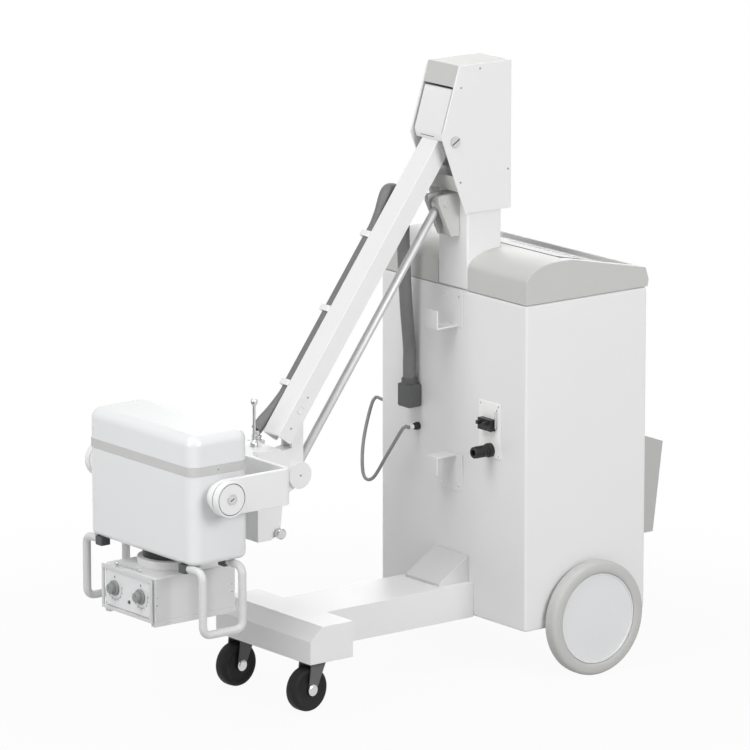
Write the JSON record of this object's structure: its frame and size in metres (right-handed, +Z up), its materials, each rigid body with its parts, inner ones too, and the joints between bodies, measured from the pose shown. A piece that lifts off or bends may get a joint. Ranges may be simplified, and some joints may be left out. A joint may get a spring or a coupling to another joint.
{
  "type": "mobile ward x-ray unit",
  "caption": "Mobile x-ray unit: a cabinet on wheels and casters, with a levelled spring arm that carries a tube head in a yoke, with a collimator and handles below it.",
  "frame": {"origin": "on the floor, under the middle of the outline without its cables", "axes": "+Z up, -Y towards the tube head, +X towards the side with the supply inlet"},
  "size_m": [0.6238, 1.358, 1.369],
  "materials": {
    "white_paint": "satin white powder coat",
    "pale_grey": "satin pale grey paint",
    "sensor_lead": "grey cable jacket",
    "grey_plastic": "fine-grained moulded plastic",
    "black_plastic": "black moulded plastic",
    "black_tread": "black rubber",
    "grey_tyre": "grey non-marking rubber",
    "bright_steel": "plated steel",
    "grey_hose": "grey flexible conduit"
  },
  "bodies": {
    "machine": {"base_frame": "white_paint", "base_fairing": "pale_grey", "cabinet": "white_paint", "top_cover": "grey_plastic", "control_panel": "white_paint", "display_window": "black_plastic", "cassette_bin": "grey_plastic", "column": "white_paint", "mast_head": "white_paint", "mast_cap": "grey_plastic", "mast_apron": "grey_plastic", "arm_pin": "bright_steel", "rod_bracket": "grey_plastic", "rear_axle_right": "bright_steel", "rear_axle_left": "bright_steel", "caster_plate_right": "black_plastic", "caster_plate_left": "black_plastic", "cable_hook_upper": "white_paint", "cable_hook_lower": "white_paint", "supply_plate": "white_paint", "breaker": "black_plastic", "supply_gland": "black_plastic", "conduit_box": "grey_plastic", "sensor_gland": "black_plastic", "side_gland": "black_plastic", "conduit_lower": "grey_hose", "sensor_cable": "sensor_lead"},
    "wheel_right": {"rear_tyre_right": "grey_tyre", "rear_hub_right": "white_paint"},
    "wheel_left": {"rear_tyre_left": "grey_tyre", "rear_hub_left": "white_paint"},
    "caster_right": {"caster_fork_right": "black_plastic"},
    "caster_left": {"caster_fork_left": "black_plastic"},
    "caster_roller_right": {"caster_wheel_right": "black_tread"},
    "caster_roller_left": {"caster_wheel_left": "black_tread"},
    "arm": {"arm_beam": "white_paint", "arm_shroud": "white_paint", "conduit_clip_1": "white_paint", "conduit_clip_2": "white_paint", "conduit_clip_3": "white_paint", "conduit_upper": "grey_hose"},
    "rod": {"levelling_rod": "bright_steel"},
    "carrier": {"head_carrier": "white_paint", "release_lever": "bright_steel", "swivel_lock_knob": "bright_steel", "conduit_gland": "bright_steel"},
    "head_yoke": {"yoke": "white_paint"},
    "head": {"tube_head": "white_paint", "tube_head_band": "grey_plastic", "tube_head_lid": "white_paint", "tilt_hub_right": "white_paint", "tilt_hub_left": "white_paint", "handle_right": "pale_grey", "handle_left": "pale_grey", "collimator_collar": "pale_grey"},
    "beam_limiter": {"collimator": "pale_grey", "collimator_panel": "white_paint", "collimator_knob_right": "grey_plastic", "collimator_knob_left": "grey_plastic"}
  },
  "joints": [
    {"name": "rear_wheel_right_spin", "type": "hinge", "parent": "machine", "child": "wheel_right", "pos_m": [0.285, 0.41, 0.1305], "axis": [1, 0, 0], "continuous": true},
    {"name": "rear_wheel_left_spin", "type": "hinge", "parent": "machine", "child": "wheel_left", "pos_m": [-0.285, 0.41, 0.1305], "axis": [1, 0, 0], "continuous": true},
    {"name": "caster_right_swivel", "type": "hinge", "parent": "machine", "child": "caster_right", "pos_m": [0.13, -0.253, 0.05], "axis": [0, 0, 1], "continuous": true},
    {"name": "caster_right_spin", "type": "hinge", "parent": "caster_right", "child": "caster_roller_right", "pos_m": [0.13235, -0.2799, 0.05], "axis": [0.9962, 0.0872, 0], "continuous": true},
    {"name": "caster_left_swivel", "type": "hinge", "parent": "machine", "child": "caster_left", "pos_m": [-0.13, -0.253, 0.05], "axis": [0, 0, 1], "continuous": true},
    {"name": "caster_left_spin", "type": "hinge", "parent": "caster_left", "child": "caster_roller_left", "pos_m": [-0.12765, -0.2799, 0.05], "axis": [0.9962, 0.0872, 0], "continuous": true},
    {"name": "arm_lift", "type": "hinge", "parent": "machine", "child": "arm", "pos_m": [0, 0.191, 1.201], "axis": [-1, 0, 0], "range_deg": [-6, 84]},
    {"name": "rod_follow", "type": "hinge", "parent": "machine", "child": "rod", "pos_m": [0, 0.191, 1.055], "axis": [-1, 0, 0], "range_deg": [-6, 84]},
    {"name": "carrier_level", "type": "hinge", "parent": "arm", "child": "carrier", "pos_m": [0, -0.21534, 0.64581], "axis": [-1, 0, 0], "range_deg": [-84, 6]},
    {"name": "yoke_swivel", "type": "hinge", "parent": "carrier", "child": "head_yoke", "pos_m": [0, -0.386, 0.54], "axis": [0, 1, 0], "range_deg": [-90, 90]},
    {"name": "head_tilt", "type": "hinge", "parent": "head_yoke", "child": "head", "pos_m": [0, -0.562, 0.54], "axis": [-1, 0, 0], "range_deg": [-20, 90]},
    {"name": "collimator_turn", "type": "hinge", "parent": "head", "child": "beam_limiter", "pos_m": [0, -0.552, 0.35], "axis": [0, 0, 1], "range_deg": [-90, 90]}
  ],
  "couplings": [
    {"joint": "rod_follow", "follows": "arm_lift", "ratio": 1},
    {"joint": "carrier_level", "follows": "arm_lift", "ratio": -1}
  ]
}
